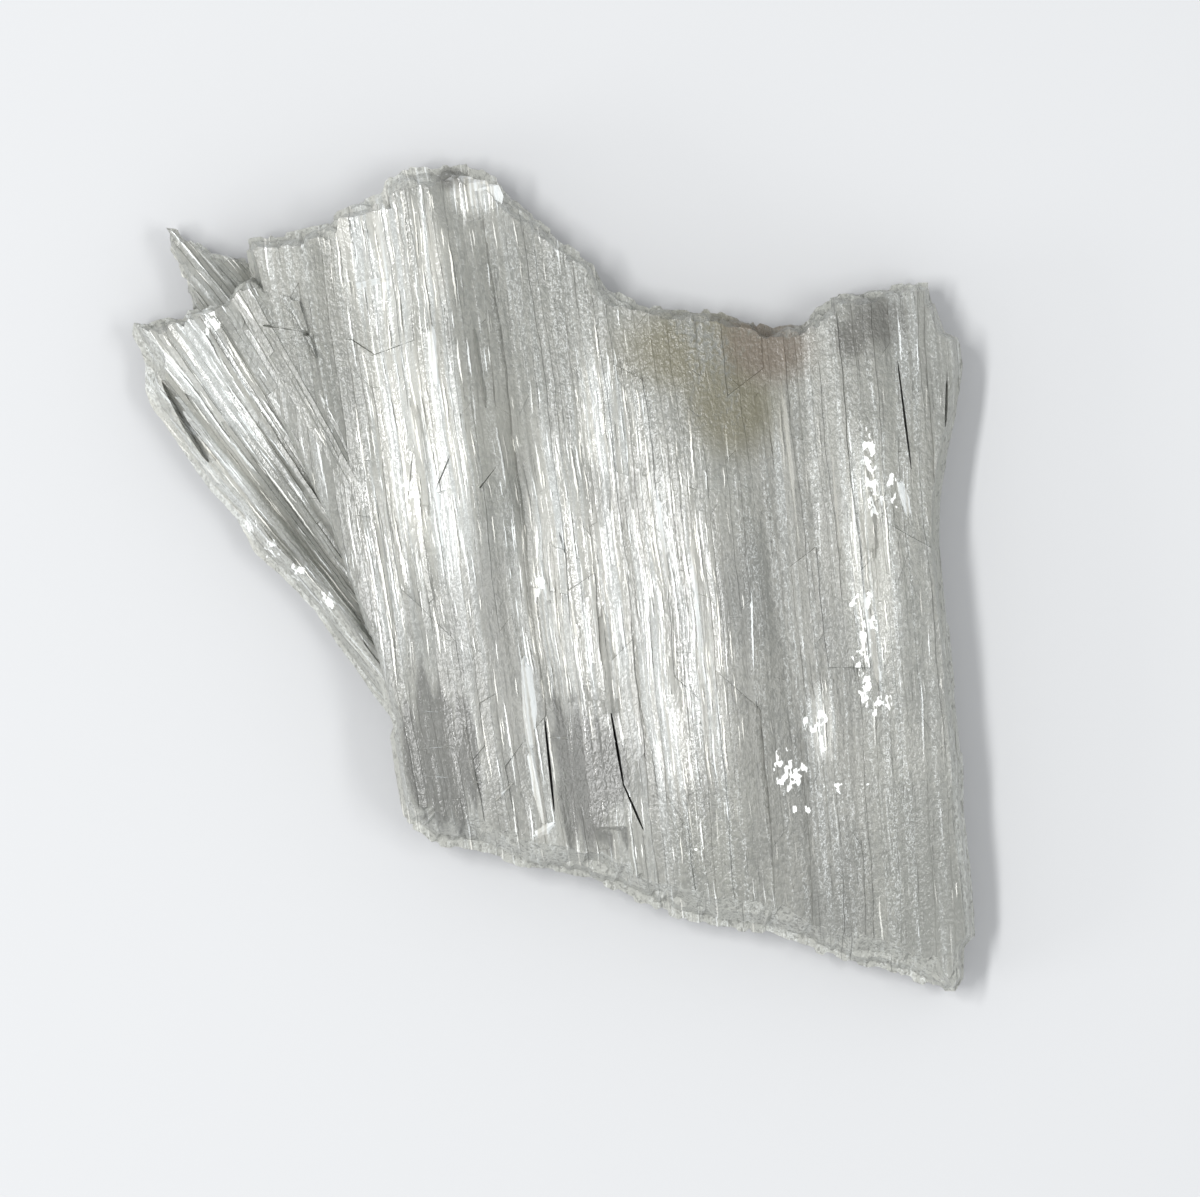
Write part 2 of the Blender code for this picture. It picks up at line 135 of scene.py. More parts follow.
def slab_face(x, y, across):
    """Thickest low in the middle, thinning to the top and the right, with low swells along the blades."""
    thinning = climb(y, THIN_UP) + climb(x, THIN_RIGHT) + climb(y, THIN_DOWN)
    swells = sum(
        ridge(across, middle, half_width, height) * ridge(y, level, half_length, 1)
        for middle, half_width, level, half_length, height in SLAB_SWELLS
    )
    return SLAB_HEIGHT - thinning + swells


def slab_back(x, y, across):
    """Flat where it rests, and lifting off towards the thin top and the sides."""
    sides = climb(across, LIFT_RIGHT) + climb(across, LIFT_LEFT)
    return climb(y, LIFT_UP) + sides + SLAB_LEVEL - climb(np.hypot(x - REST_X, y - REST_Y), REST)


# The wing's face rises across it and sinks to its tip in y. Its back sinks across it.
WING_HEIGHT, WING_LEVEL = 6.6, 0.8
WING_RISE, WING_TIP, WING_UNDER = (0.27, 0.87, 4.4), (8, 24, 1.2), (0.87, 0.32, 2.4)

# The ridges and gaps between the wing's coarse blades: share across, half width and height.
WING_RIDGES = (
    (0.41, 0.014, 0.3), (0.44, 0.016, -0.7), (0.477, 0.018, 0.6), (0.547, 0.016, 0.4), (0.60, 0.012, -0.7),
    (0.62, 0.014, 0.3),
)


def wing_face(x, y, across):
    """Lowest along its free edge, where the blades stand apart."""
    apart = sum(ridge(across, middle, half_width, height) for middle, half_width, height in WING_RIDGES)
    return WING_HEIGHT + climb(across, WING_RISE) + apart - climb(y, WING_TIP)


def wing_back(x, y, across):
    return WING_LEVEL + climb(across, WING_UNDER)


# The spur has one ridge along it, given as one of the wing's, and its face sinks to its tip in y. Its back
# slopes evenly across it.
SPUR_HEIGHT, SPUR_LEVEL, SPUR_SLOPE = 5.4, 2.2, 0.3
SPUR_RIDGE, SPUR_TIP = (0.42, 0.2, 1.6), (22, 30, 1.8)


def spur_face(x, y, across):
    return SPUR_HEIGHT + ridge(across, *SPUR_RIDGE) - climb(y, SPUR_TIP)


def spur_back(x, y, across):
    return SPUR_LEVEL + SPUR_SLOPE * across


# ---------------------------------------------------------------- the broken outlines, clockwise

SLAB_TOP_LEFT = [
    (-25.5, 27.2), (-25.4, 28.0), (-21.7, 28.6), (-18.4, 29.5), (-18.1, 30.3), (-16.3, 31.1),
]
SLAB_HUMP = [
    (-14.3, 31.7), (-14.0, 32.8), (-12.6, 33.9), (-9.8, 34.0), (-7.5, 34.4), (-6.1, 33.9),
    (-4.7, 33.0),
]
SLAB_TOP_RIGHT = [
    (-2.3, 30.6), (0.9, 27.9), (3.4, 26.0), (4.6, 24.0), (6.9, 22.9), (8.0, 22.4), (13.5, 22.1),
    (16.3, 21.2), (17.9, 20.7), (19.3, 21.1), (20.3, 21.1), (22.5, 23.0), (22.8, 23.5), (26.3, 23.8),
    (29.4, 24.4), (31.1, 24.4),
]
SLAB_RIGHT = [
    (31.6, 22.8), (32.5, 20.3), (33.6, 19.8), (33.9, 17.4), (33.3, 12.9), (32.7, 10.4), (32.1, 6.3),
    (32.0, 3.0), (32.7, -4.2), (33.3, -10.2), (33.9, -15.6), (33.9, -19.3), (34.5, -23.8),
    (35.0, -29.7), (34.1, -30.6), (34.0, -33.3), (33.3, -34.4),
]
SLAB_BOTTOM = [
    (32.4, -34.4), (28.4, -33.1), (24.7, -32.0), (22.0, -31.3), (17.4, -29.6), (13.7, -29.1),
    (10.4, -28.4), (6.6, -26.8), (3.0, -25.0), (-2.0, -24.3), (-6.2, -22.9), (-9.8, -22.2),
    (-10.9, -21.2), (-12.3, -20.5),
]
SLAB_LEFT = [
    (-12.7, -18.9), (-13.2, -16.0), (-13.6, -13.2), (-13.3, -12.4), (-14.0, -10.2), (-15.1, -6.1),
    (-17.2, -1.1), (-19.1, 4.2), (-21.3, 8.8), (-23.2, 12.9), (-24.0, 18.7), (-24.7, 22.8),
]
WING_TOP = [
    (-34.9, 21.2), (-33.1, 21.2), (-32.1, 21.6), (-30.4, 21.7), (-30.2, 22.3), (-28.3, 22.9),
    (-27.2, 23.4), (-26.0, 24.5), (-24.9, 24.9),
]
WING_INNER = [(-20.9, 22.8), (-18.4, 14.6), (-14.7, 4.7), (-12.8, -5.2), (-12.3, -11.4)]
WING_OUTER = [
    (-13.4, -11.8), (-14.9, -9.9), (-16.5, -7.5), (-17.8, -5.8), (-19.8, -2.8), (-22.6, 0.0),
    (-24.8, 1.9), (-26.3, 4.7), (-28.6, 7.1), (-30.3, 9.5), (-31.5, 11.3), (-33.3, 13.9),
    (-33.9, 15.4), (-33.9, 17.3), (-34.3, 18.7), (-35.0, 19.9),
]
SPUR_TOP = [(-32.2, 29.0), (-31.6, 29.0), (-29.7, 27.9), (-28.3, 26.9), (-25.6, 26.4), (-22.9, 25.3)]
SPUR_INNER = [(-20.1, 19.5), (-26.7, 19.5)]
SPUR_OUTER = [(-30.0, 22.3), (-31.0, 25.5), (-32.0, 27.3)]

# Only the visual model has the last layer of each list, and the last two of the spur's face.
SLAB = Bundle(
    "slab", 11, [(-16.0, -35.8), (38.6, -35.8), (34.4, 36.0), (-28.2, 36.0)], slab_face, slab_back,
    [
        Rim(SLAB_TOP_LEFT, 0.7, 1.0, 1.5, 0.8, 1),
        Rim(SLAB_HUMP, 1.3, 0.9, 0.4, 0.6, 1),
        Rim(SLAB_TOP_RIGHT, 0.7, 1.2, 1.5, 0.8, 1),
        Rim(SLAB_RIGHT, 0.5, 1.0, 1.5, 0.7, 5),
        Rim(SLAB_BOTTOM, 1.8, 1.4, 1.5, 0.9, 1),
        Rim(SLAB_LEFT, 0.5, 0.8, 1.5, 0.6, 6),
    ],
    [Layer(2.6, 30, 0.17, 0.06, 1.2), Layer(0.95, 17, 0.09, 0.09, 2.2), Layer(0.34, 9, 0.035, 0.08, 1.0)],
    [Layer(2.8, 34, 0.5, 0.03, 1.0), Layer(1.2, 18, 0.15, 0.06, 2.0), Layer(0.6, 9, 0.05, 0.1, 2.0)],
    (112, 60),
)
WING = Bundle(
    "wing", 23, [(-16.0, -14.8), (-2.0, -10.0), (-20.0, 32.0), (-55.0, 17.5)], wing_face, wing_back,
    [
        Rim(WING_TOP, 0.6, 0.6, 1.5, 0.4, 1),
        Rim(WING_INNER, 0.0, 0.0, 1.5, 0.0, 1),
        Rim(WING_OUTER, 0.9, 1.0, 1.2, 0.8, 5),
    ],
    [Layer(1.7, 34, 0.45, 0.25, 1.0), Layer(0.75, 17, 0.2, 0.2, 2.0), Layer(0.3, 9, 0.06, 0.16, 2.0)],
    [Layer(2.4, 30, 0.4, 0.08, 1.0), Layer(0.9, 12, 0.1, 0.1, 2.0)],
    (64, 30),
)
SPUR = Bundle(
    "spur", 37, [(-26.0, 13.0), (-12.0, 18.0), (-28.0, 34.0), (-37.0, 29.0)], spur_face, spur_back,
    [
        Rim(SPUR_TOP, 0.25, 0.2, 1.5, 0.1, 1),
        Rim(SPUR_INNER, 0.0, 0.0, 1.5, 0.0, 1),
        Rim(SPUR_OUTER, 0.35, 0.2, 1.5, 0.1, 1),
    ],
    [Layer(2.2, 14, 0.25, 0.15, 1.0), Layer(0.8, 8, 0.1, 0.2, 1.5), Layer(0.35, 5, 0.05, 0.2, 1.5)],
    [Layer(3.0, 20, 0.2, 0.0, 0.0), Layer(0.9, 12, 0.08, 0.1, 1.0)],
    (44, 20),
)
BUNDLES = (SLAB, WING, SPUR)

LOOSE_BLADES = [
    Sliver("wedge", (-2.35, -6.5), (-1.8, -14.6), 0.95, 0.55, 0.4),
    Sliver("wedge_low", (-2.0, -13.9), (-0.7, -20.3), 0.8, 0.5, -0.3),
    Sliver("wedge_foot", (-1.6, -21.3), (0.2, -20.1), 0.8, 0.3, 0.2),
    Sliver("facet", (-10.1, 20.7), (-9.5, 15.2), 1.2, 0.5, -0.3),
    Sliver("facet_low", (-11.2, 14.0), (-10.2, 5.0), 0.9, 0.35, -0.4),
    Sliver("chip_across", (-16.7, 23.7), (-13.5, 24.4), 0.6, 0.35, 0.1),
    Sliver("thin_blade", (-6.5, 20.3), (-5.5, 13.8), 0.45, 0.3, 0.1),
    Sliver("blade_low", (4.0, -2.4), (4.9, -11.2), 1.3, 0.35, 0.2, BLUNT_END),
    Sliver("blade_left", (-14.6, 6.5), (-12.9, -6.3), 1.0, 0.45, -0.3),
    Sliver("blade_right", (25.4, 10.0), (26.4, 1.5), 1.1, 0.4, -0.3),
]

# The cracks in the slab's face, the window, and the gap in the wing.
CRACKS = [
    Sliver("window", (2.9, -10.2), (3.9, -22.4), 4.6, 0.35, 0.3, BLUNT_START),
    Sliver("crack_wedge", (-0.7, -11.6), (0.1, -19.3), 0.22, 0.9, 0.1),
    Sliver("crack_middle", (4.7, -10.9), (5.8, -17.3), 0.26, 1.0, 0.1),
    Sliver("crack_low", (5.7, -16.9), (7.4, -20.8), 0.18, 0.6, 0.1),
    Sliver("crack_right", (28.3, 17.8), (29.4, 8.8), 0.24, 1.0, 0.1),
    Sliver("crack_edge", (32.4, 17.0), (32.1, 6.4), 0.3, 0.5, 0.1),
    Sliver("wing_gap", (-32.4, 16.4), (-28.4, 9.4), 0.9, 1.6, 0.2),
]

# Finer ones that only the visual model has, as (start, end, width, rise), and how far their crests lean.
FINE_BLADE_LEAN, FINE_CRACK_LEAN = 0.3, 0.1
FINE_BLADES = [
    ((-14.5, 30.6), (-13.5, 22.8), 0.35, 0.12), ((-12.5, 31.5), (-11.5, 23.5), 0.3, 0.12),
    ((-10.4, 31.9), (-9.4, 22.0), 0.4, 0.15), ((-8.2, 32.9), (-7.9, 30.9), 0.3, 0.1),
    ((-7.0, 32.6), (-6.6, 30.2), 0.3, 0.1), ((-6.0, 32.2), (-5.6, 30.0), 0.3, 0.1),
    ((-4.7, -18.4), (-3.3, -16.9), 0.22, 0.3),
    ((28.2, 8.0), (29.2, 4.8), 0.35, 0.25), ((24.9, 0.6), (26.9, -9.4), 0.55, 0.25),
    ((25.4, 10.0), (26.2, 6.6), 0.45, 0.25), ((26.4, 8.9), (27.1, 5.5), 0.35, 0.2),
    ((18.7, 16.2), (20.3, 1.4), 0.3, 0.15), ((22.8, 11.3), (23.6, 1.4), 0.3, 0.15),
    ((-11.0, -11.0), (-8.1, -11.2), 0.14, 0.3), ((-11.0, -14.1), (-7.9, -13.9), 0.14, 0.3),
    ((-10.9, -16.3), (-8.1, -16.5), 0.14, 0.3), ((-6.9, -16.8), (-5.9, -16.9), 0.14, 0.3),
    ((-0.3, -13.2), (1.4, -13.3), 0.14, 0.3),
    ((8.4, 7.1), (9.5, -1.9), 0.4, 0.15), ((11.3, 4.7), (12.3, -10.2), 0.35, 0.15),
    ((-11.8, 14.6), (-10.6, 8.0), 0.5, 0.2), ((-10.2, 12.9), (-8.9, 1.4), 0.5, 0.2),
    ((-1.8, 0.6), (-1.1, -1.7), 0.5, 0.25), ((-1.0, 0.3), (-0.3, -2.2), 0.35, 0.2),
]
FINE_CRACKS = [
    ((-23.8, 20.6), (-20.6, 20.1), 0.1, 0.14), ((-21.0, 20.0), (-16.4, 19.4), 0.1, 0.16),
    ((-16.8, 19.6), (-14.5, 18.1), 0.11, 0.18), ((-14.9, 18.1), (-11.3, 19.4), 0.1, 0.16),
    ((-11.9, 5.9), (-11.5, 10.1), 0.08, 0.14), ((-9.9, 6.4), (-8.4, 9.9), 0.08, 0.14),
    ((-4.9, 11.2), (-3.5, 12.1), 0.08, 0.14), ((-6.0, 7.2), (-4.5, 9.2), 0.08, 0.14),
    ((0.5, 3.6), (1.0, 1.9), 0.2, 0.25), ((3.0, 12.2), (3.2, 10.9), 0.15, 0.2),
]

# The loose blades that are milky white, and the cracks that are painted dark inside with shade. The others
# look like the face around them. OWNERS has the bundles, by number, of the cracks that aren't in the slab.
MILKY = ("wedge", "wedge_low", "wedge_foot", "facet", "chip_across", "fine_blade")
SHADED_CRACKS = ("crack_wedge", "crack_middle", "crack_low", "crack_right")
OWNERS = {"wing_gap": 1}

# Where the face is silkiest, with painted sheen; clearest, darkened with painted shade; frosted; glinting,
# with painted glints; or stained: the middles and radii of ellipses.
ZONES = {
    "silk_and_sheen": [
        ((-13.5, 26.1), (4.5, 6.5)), ((-10.6, 10.8), (3.6, 10.5)), ((-14.1, 1.4), (1.7, 8.0)),
        ((1.4, -1.1), (4.5, 10.0)), ((10.7, -6.9), (3.6, 15.0)), ((4.7, 12.9), (3.0, 5.0)),
        ((26.1, 0.5), (1.7, 10.0)), ((-6.9, 31.4), (1.6, 1.8)), ((-29.5, 12.5), (6.0, 9.0)),
        ((22.2, -12.0), (1.2, 3.0)),
    ],
    "window": [
        ((-11.3, -15.0), (0.9, 4.6)), ((-9.9, -14.2), (1.0, 6.6)), ((-8.4, -14.8), (1.0, 6.2)),
        ((-6.9, -14.2), (0.8, 4.8)), ((0.9, -16.0), (0.9, 6.3)), ((2.4, -16.2), (1.0, 6.2)),
        ((3.9, -16.8), (1.0, 5.8)), ((5.4, -17.2), (0.6, 4.6)),
    ],
    "frost": [
        ((24.0, 8.0), (9.5, 19.0)), ((25.0, -16.0), (9.5, 17.0)), ((-0.3, 20.3), (4.5, 7.0)),
        ((13.0, 17.0), (8.0, 6.0)), ((-19.5, 22.0), (4.0, 7.0)), ((14.0, -21.0), (5.0, 7.0)),
    ],
    "glint": [
        ((26.0, 9.6), (0.7, 2.6)), ((26.3, 6.4), (0.8, 1.6)), ((25.5, -2.2), (1.3, 1.2)),
        ((25.9, -4.2), (1.1, 1.2)), ((25.4, -7.6), (0.9, 2.8)), ((27.9, 7.2), (0.5, 2.0)),
        ((26.6, -10.4), (1.2, 1.2)), ((22.0, -12.8), (0.7, 2.4)), ((20.9, -12.0), (0.5, 1.0)),
        ((24.3, -17.0), (2.4, 0.5)), ((20.4, -19.0), (1.4, 0.6)), ((-8.6, 33.0), (1.0, 0.4)),
        ((-1.2, -1.0), (0.7, 1.4)), ((19.3, -16.0), (1.6, 2.0)), ((-11.4, 6.4), (0.8, 2.6)),
        ((-25.0, 4.4), (0.6, 0.9)), ((-23.2, 2.4), (0.8, 1.0)), ((-21.0, 0.4), (0.8, 1.0)),
        ((-18.6, -1.9), (0.7, 1.0)), ((-28.4, 21.0), (1.1, 1.3)),
    ],
    "olive": [((12.5, 18.5), (6.5, 3.5)), ((14.5, 14.5), (3.6, 4.5))],
    "mauve": [((17.5, 19.0), (3.4, 3.0))],
    "smudge": [((27.0, 21.0), (2.6, 2.0)), ((-8.4, 32.8), (1.1, 1.0)), ((24.5, 19.5), (1.5, 1.5))],
}
ZONE_EDGE = 0.45        # the share of a radius over which a zone fades, each way
CALM = (0.3, 0.62)      # what is left outside the silk of the finest and the second layer of the slab's face

# The broadest patterns: how often each repeats in a millimetre (broad across and along the blades and in
# depth, cloud in x, y and z), and its octaves.
BROADEST = {"broad": ((0.3, 0.024, 0.12), 3), "cloud": ((0.16, 0.12, 0.16), 4)}

# Every solid has the same slots, so that its faces can be told apart after the Booleans: the faces and backs
# of the bundles in order, then their broken edges, then the milky blades and the cracks painted with shade.
BROKEN = len(BUNDLES)
LOOSE = 2 * len(BUNDLES)
CUT = LOOSE + 1
SLOTS = [bpy.data.materials.new(f"slot_{number}") for number in range(CUT + 1)]


# ---------------------------------------------------------------- blades in relief

def cuts(total, mean, rng):
    """Cuts from 0 to total, about mean apart and never even."""
    count = max(1, round(total / mean))
    shares = np.cumsum(rng.uniform(*UNEVEN, count))
    return np.concatenate([[0], shares / shares[-1] * total])


def blades(width, length, layers, seed):
    """The finest blades across a bundle, as (left, right, cells). Cells holds, for each layer, the middle of
    the blade that this one is nested in, the places and slants of the breaks across that, and the height and
    tilt of each length of it between them."""
    found = [(0.0, width, [])]
    for depth, layer in enumerate(layers):
        rng = np.random.default_rng([seed, depth])
        finer = []
        for left, right, cells in found:
            edges = left + cuts(right - left, layer.width, rng)
            for low, high in zip(edges, edges[1:]):
                breaks = cuts(length, layer.length, rng)[1:-1]
                slants = rng.uniform(-1, 1, len(breaks)) * layer.slant
                heights = rng.uniform(-1, 1, len(breaks) + 1) * layer.relief
                tilts = rng.normal(0, 1, len(breaks) + 1) * layer.tilt
                finer.append((low, high, cells + [((low + high) / 2, breaks, slants, heights, tilts)]))
        found = finer
    return found


def snapped(rows, cells, across, centre):
    """The rows of one blade's side, with a pair of them moved to each break across it."""
    rows = rows.copy()
    places = [
        (place + slant * (centre - middle), place + slant * (across - middle))
        for middle, breaks, slants, _, _ in cells
        for place, slant in zip(breaks, slants)
    ]
    last = 0
    for at_centre, here in sorted(places):
        row = max(last + 1, int(np.searchsorted(rows, at_centre)) - 1)
        if row + 2 < len(rows) and rows[row - 1] < here - 2 * STEP and rows[row + 2] > here + 2 * STEP:
            rows[row], rows[row + 1] = here - STEP, here + STEP
            last = row + 1
    return rows


def raised(cells, along, across, calm):
    """How far a blade stands out, all its layers together. calm is how far the finest ones are held back."""
    total = np.zeros_like(along)
    shares = [1.0] * (len(cells) - 2) + [1 - calm * (1 - CALM[1]), 1 - calm * (1 - CALM[0])]
    for (middle, breaks, slants, heights, tilts), share in zip(cells, shares[-len(cells):]):
        cell = np.searchsorted(np.sort(breaks + slants * (across - middle)), along)
        total += (heights[cell] + tilts[cell] * (across - middle)) * share
    return total


def zone_share(name, flat):
    """How far these places on the slab's patch, in mm across and along, are in a zone."""
    corners = SLAB.corners
    centres = np.array([centre for centre, _ in ZONES[name]])
    middles = np.column_stack(patch_shares(corners, centres)) * patch_size(corners)
    reach = [np.hypot(*((flat - middle) / radii).T) for middle, (_, radii) in zip(middles, ZONES[name])]
    return smoothstep(1 + ZONE_EDGE, 1 - ZONE_EDGE, np.min(reach, axis=0))


def patch_point(corners, across, along):
    """The point of a four-cornered patch at these shares across and along."""
    low_left, low_right, high_right, high_left = (np.array(c) for c in corners)
    across, along = across[..., None], along[..., None]
    low = low_left + (low_right - low_left) * across
    high = high_left + (high_right - high_left) * across
    return low + (high - low) * along


def patch_size(corners):
    """Its mean width and length."""
    a, b, c, d = (np.array(corner) for corner in corners)
    width = np.linalg.norm((b - a) + (c - d)) / 2
    length = np.linalg.norm((d - a) + (c - b)) / 2
    return width, length


def patch_shares(corners, points):
    """The shares across and along at which the patch has these points, found by turns."""
    a, b, c, d = (np.array(corner) for corner in corners)
    across = np.full(len(points), 0.5)
    for _ in range(TURNS):
        low = a[1] + (b[1] - a[1]) * across
        high = d[1] + (c[1] - d[1]) * across
        along = (points[:, 1] - low) / (high - low)
        left = a[0] + (d[0] - a[0]) * along
        right = b[0] + (c[0] - b[0]) * along
        across = (points[:, 0] - left) / (right - left)
    return across, along


def relief(bundle, form, layers, rows, seed):
    """A sheet of blades over the bundle's patch, as an array of points: two columns for each blade."""
    width, length = patch_size(bundle.corners)
    columns = []
    for left, right, cells in blades(width, length, layers, seed):
        for across in (left + STEP, right - STEP):
            along = snapped(np.linspace(0, length, rows), cells, across, (left + right) / 2)
            share = np.full(rows, across / width)
            x, y = patch_point(bundle.corners, share, along / length).T
            calm = np.zeros(rows)
            if form is slab_face:
                calm = 1 - zone_share("silk_and_sheen", np.column_stack([np.full(rows, across), along]))
            height = form(x, y, share) + raised(cells, along, across, calm)
            x = x + sum(reach * np.sin(y / up + x / over) for reach, up, over in WAVES)
            columns.append(np.stack([x, y, np.maximum(height, 0)], axis=1))
    return np.array(columns)


# ---------------------------------------------------------------- meshes

def split(mesh):
    """Splits its faces in triangles."""
    grown = bmesh.new()
    grown.from_mesh(mesh)
    bmesh.ops.triangulate(grown, faces=grown.faces[:])
    grown.to_mesh(mesh)
    grown.free()


def solid(name, points, faces, slot):
    """An object of triangles, all in one slot."""
    mesh = bpy.data.meshes.new(name)
    mesh.from_pydata((np.asarray(points) * MM).tolist(), [], faces)
    for material in SLOTS:
        mesh.materials.append(material)
    mesh.polygons.foreach_set("material_index", [slot] * len(mesh.polygons))
    split(mesh)
    obj = bpy.data.objects.new(name, mesh)
    bpy.context.collection.objects.link(obj)
    return obj


def grid_faces(columns, rows, first, upward):
    """The faces of a grid of points numbered from first, column by column."""
    index = first + np.arange(columns * rows).reshape(columns, rows)
    corners = np.stack([index[:-1, :-1], index[1:, :-1], index[1:, 1:], index[:-1, 1:]], axis=-1)
    faces = corners.reshape(-1, 4)
    return index, (faces if upward else faces[:, ::-1]).tolist()


def block(name, face, back, slot):
    """The solid between two relief sheets over the same patch. Its four walls are flat."""
    front, faces = grid_faces(*face.shape[:2], 0, True)
    rear, rear_faces = grid_faces(*back.shape[:2], front.size, False)
    walls = [
        [*front[:, 0][::-1], *rear[:, 0]],
        [*front[-1][::-1], *rear[-1]],
        [*front[:, -1], *rear[:, -1][::-1]],
        [*front[0], *rear[0][::-1]],
    ]
    walls = [[int(i) for i in wall] for wall in walls]
    points = np.concatenate([face.reshape(-1, 3), back.reshape(-1, 3)])
    return solid(name, points, faces + rear_faces + walls, slot)


def arc_lengths(points):
    """The distance along a closed outline to each of its points and back to the first."""
    closed = np.vstack([points, points[:1]])
    return closed, np.concatenate([[0], np.cumsum(np.linalg.norm(np.diff(closed, axis=0), axis=1))])


def inward(points, places):
    """The unit vectors that lead inside from these places along a clockwise outline."""
    closed, along = arc_lengths(points)

    def at(place):
        place = place % along[-1]
        return np.stack([np.interp(place, along, closed[:, k]) for k in (0, 1)], axis=1)

    chord = at(places + CHORD) - at(places - CHORD)
    side = np.stack([chord[:, 1], -chord[:, 0]], axis=1)
    return side / np.linalg.norm(side, axis=1)[:, None]


def rim_insets(rim, rng):
    """How far the outline of one rim steps in at the low and high side of each stratum, for each point."""
    groups = np.arange(len(rim.points)) // rim.run
    insets = []
    for stratum in STRATA:
        ledge = rng.uniform(0, rim.ledge, len(rim.points))[groups] * (stratum != WIDEST)
        for share in stratum:
            down = max(0, WIDEST[0] - share) / WIDEST[0]
            up = max(0, share - WIDEST[1]) / (1 - WIDEST[1])
            insets.append(rim.rear * down**2 + rim.front * up**rim.steep + ledge)
    return np.array(insets)


def chips(bundle, along, places, rng):
    """How deep the edge is chipped at these places: stubs of blades at the ends, long flakes at the sides."""
    depth = np.zeros(len(places))
    first = 0
    for rim in bundle.rims:
        last = first + len(rim.points)
        start, end = along[first], along[last]
        cell, chip = (END_CELL, END_CHIP) if rim.run == 1 else (SIDE_CELL, SIDE_CHIP)
        if rim.front == 0:
            chip = 0
        edges = start + cuts(end - start, cell, rng)
        values = rng.random(len(edges)) * chip
        here = (places >= start) & (places < end)
        depth[here] = values[np.searchsorted(edges, places[here], side="right") - 1]
        first = last
    return depth


def outline_cutter(bundle, slot):
    """A closed band around the bundle's broken outline: widest half way up, and bevelled to face and back."""
    rng = np.random.default_rng(bundle.seed + OUTLINE_SEED)
    points = np.array([point for rim in bundle.rims for point in rim.points])
    insets = np.concatenate([rim_insets(rim, rng) for rim in bundle.rims], axis=1)
    closed, along = arc_lengths(points)
    places = np.linspace(0, along[-1], round(along[-1] / EDGE_SPACING), endpoint=False)
    fine = np.stack([np.interp(places, along, closed[:, k]) for k in (0, 1)], axis=1)
    inside = inward(points, places)
    height = bundle.face(fine[:, 0], fine[:, 1], patch_shares(bundle.corners, fine)[0])
    fine_rng = np.random.default_rng(bundle.seed + CHIP_SEED)
    rings = []
    for number, (low, high) in enumerate(STRATA):
        chip = chips(bundle, along, places, fine_rng)
        for step in STRATUM_STEPS:
            low_inset, high_inset = insets[2 * number], insets[2 * number + 1]
            inset = low_inset + (high_inset - low_inset) * step
            inset = np.interp(places, along, np.append(inset, inset[0])) + chip
            inset = inset + GRIT * fine_rng.random(len(places))
            ring = fine + inside * inset[:, None]
            rings.append(np.column_stack([ring, height * (low + (high - low) * step)]))
    rings.insert(0, rings[0] * [1, 1, 0] + [0, 0, LOW])
    rings.append(rings[-1] * [1, 1, 0] + [0, 0, HIGH])
    count, last = len(fine), len(rings) - 1
    faces = [tuple(range(count)), tuple(last * count + k for k in reversed(range(count)))]
    for ring in range(last):
        for k in range(count):
            a, b = ring * count + k, ring * count + (k + 1) % count
            faces.append((a, a + count, b + count, b))
    return solid(f"{bundle.name}_outline", np.concatenate(rings), faces, slot)


def sliver_solid(sliver, bundle, sign, slot):
    """A long thin blade with pointed ends, its crest above the face (sign 1) or below it (sign -1)."""
    start, end = np.array(sliver.start), np.array(sliver.end)
    along = (end - start) / np.linalg.norm(end - start)
    side = np.array([along[1], -along[0]]) * sliver.width / 2
    points, faces = [], []
    for share, width in sliver.spine:
        place = start + (end - start) * share
        surface = float(bundle.face(*place, patch_shares(bundle.corners, place[None])[0][0]))
        rise = sliver.rise * (ENDS + (1 - ENDS) * width)
        flare = (rise + ROOTED) / rise
        low, high = (sliver.lean + (edge - sliver.lean) * flare for edge in (-1, 1))
        root, crest = surface - sign * ROOTED, surface + sign * rise
        for offset, height in ((low, root), (high, root), (sliver.lean, crest)):
            spot = place + side * width * offset
            points.append((spot[0], spot[1], height))
    for ring in range(len(sliver.spine) - 1):
        a = ring * 3
        for k in range(3):
            b = (k + 1) % 3
            faces.append((a + k, a + b, a + 3 + b, a + 3 + k))
    last = len(points) - 3
    faces += [(2, 1, 0), (last, last + 1, last + 2)]
    if sign > 0:
        faces = [tuple(reversed(face)) for face in faces]
    return solid(sliver.name, points, faces, slot)


def applied(obj, others, operation):
    """Cuts obj by others or joins them to it, applies that, and removes the others."""
    for other in others:
        modifier = obj.modifiers.new(other.name, "BOOLEAN")
        modifier.operation = operation
        modifier.solver = "MANIFOLD"
        modifier.object = other
    evaluated = obj.evaluated_get(bpy.context.evaluated_depsgraph_get())
    mesh = bpy.data.meshes.new_from_object(evaluated)
    obj.modifiers.clear()
    obj.data = mesh
    for other in others:
        bpy.data.objects.remove(other)
    return obj


def build(number):
    """A bundle's blades, cut to its outline."""
    bundle = BUNDLES[number]
    face = relief(bundle, bundle.face, bundle.face_layers, bundle.rows[0], bundle.seed)
    back = relief(bundle, bundle.back, bundle.back_layers, bundle.rows[1], bundle.seed + BACK_SEED)
    grown = block(bundle.name, face, back, number)
    return applied(grown, [outline_cutter(bundle, BROKEN + number)], "INTERSECT")


# cut marks the cracks whose faces are painted dark with shade.
KINDS = ("broken", "loose", "cut")     # broken edges, milky blades and dark cracks
APART = 100             # sets the patterns of one bundle apart from the next one's, across the blades


def read(items, name, size=1, kind=float):
    """One property of a mesh's items, as an array with a row for each item."""
    found = np.empty(len(items) * size, kind)
    items.foreach_get(name, found)
    return found.reshape(-1, size) if size > 1 else found


def store(mesh, name, values, domain):
    """Keeps a number for each face or point, for the material to read."""
    mesh.attributes.new(name, "FLOAT", domain).data.foreach_set("value", np.asarray(values, float))


